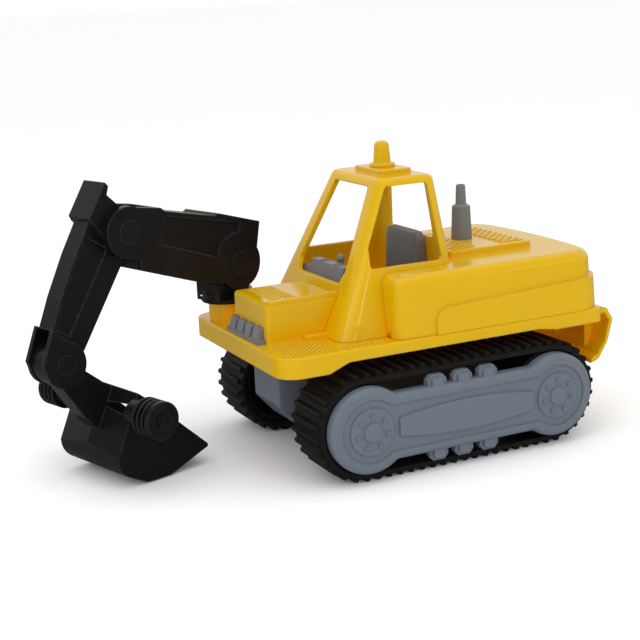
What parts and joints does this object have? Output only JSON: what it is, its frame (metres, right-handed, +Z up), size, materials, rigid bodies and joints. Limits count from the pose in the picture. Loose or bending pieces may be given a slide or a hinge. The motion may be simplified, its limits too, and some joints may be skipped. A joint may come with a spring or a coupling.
{
  "type": "toy excavator",
  "caption": "Toy excavator on rubber tracks with an open cab, a hood behind it and a jointed digging arm with a hand-worked bucket on a swivel beside the nose.",
  "frame": {"origin": "on the ground the tracks stand on, midway between the front and rear axles and between the two tracks", "axes": "+X towards the front of the digger, +Y towards its left side, +Z up"},
  "size_m": [0.4154, 0.1964, 0.22],
  "materials": {
    "yellow_plastic": "moulded, glossy",
    "grey_plastic": "moulded, semi-gloss",
    "fitting_plastic": "moulded, satin",
    "black_plastic": "moulded, satin",
    "track_rubber": "moulded rubber, matte",
    "steel": "bright zinc"
  },
  "bodies": {
    "digger": {"chassis": "grey_plastic", "deck": "yellow_plastic", "body_shell": "yellow_plastic", "cab": "yellow_plastic", "rear_bumper": "yellow_plastic", "beacon": "yellow_plastic", "left_track_cover": "grey_plastic", "right_track_cover": "grey_plastic", "left_track": "track_rubber", "right_track": "track_rubber", "front_axle": "steel", "rear_axle": "steel", "cover_screws": "steel", "chassis_screws": "steel", "body_screws": "steel", "seat": "fitting_plastic", "dashboard": "fitting_plastic", "control_lever": "fitting_plastic", "exhaust_stack": "fitting_plastic", "headlight_strip": "fitting_plastic"},
    "front_left_wheel_body": {"front_left_wheel": "black_plastic"},
    "front_right_wheel_body": {"front_right_wheel": "black_plastic"},
    "rear_left_wheel_body": {"rear_left_wheel": "black_plastic"},
    "rear_right_wheel_body": {"rear_right_wheel": "black_plastic"},
    "swing_body": {"swing_bracket": "black_plastic", "swing_screw": "steel"},
    "boom_body": {"boom": "black_plastic", "boom_foot_pin": "black_plastic", "stick_pin": "black_plastic"},
    "stick_body": {"stick": "black_plastic", "bucket_pin": "black_plastic"},
    "bucket_body": {"bucket": "black_plastic", "left_knob": "black_plastic", "right_knob": "black_plastic"}
  },
  "joints": [
    {"name": "front_left_spin", "type": "hinge", "parent": "digger", "child": "front_left_wheel_body", "pos_m": [0.075, 0.0678, 0.0381], "axis": [0, 1, 0], "continuous": true},
    {"name": "front_right_spin", "type": "hinge", "parent": "digger", "child": "front_right_wheel_body", "pos_m": [0.075, -0.0678, 0.0381], "axis": [0, 1, 0], "continuous": true},
    {"name": "rear_left_spin", "type": "hinge", "parent": "digger", "child": "rear_left_wheel_body", "pos_m": [-0.075, 0.0678, 0.0381], "axis": [0, 1, 0], "continuous": true},
    {"name": "rear_right_spin", "type": "hinge", "parent": "digger", "child": "rear_right_wheel_body", "pos_m": [-0.075, -0.0678, 0.0381], "axis": [0, 1, 0], "continuous": true},
    {"name": "arm_swing", "type": "hinge", "parent": "digger", "child": "swing_body", "pos_m": [0.1123, -0.0591, 0.11], "axis": [0, 0, 1], "range_deg": [-50, 12]},
    {"name": "boom_lift", "type": "hinge", "parent": "swing_body", "child": "boom_body", "pos_m": [0.11297, -0.05889, 0.136], "axis": [0.299, -0.9542, 0], "range_deg": [-4, 38]},
    {"name": "stick_reach", "type": "hinge", "parent": "boom_body", "child": "stick_body", "pos_m": [0.20436, -0.03025, 0.17334], "axis": [0.299, -0.9542, 0], "range_deg": [-5, 45]},
    {"name": "bucket_scoop", "type": "hinge", "parent": "stick_body", "child": "bucket_body", "pos_m": [0.25606, -0.01405, 0.09024], "axis": [0.299, -0.9542, 0], "range_deg": [-28, 45]}
  ],
  "couplings": [
    {"joint": "rear_left_spin", "follows": "front_left_spin", "ratio": 1},
    {"joint": "rear_right_spin", "follows": "front_right_spin", "ratio": 1}
  ]
}
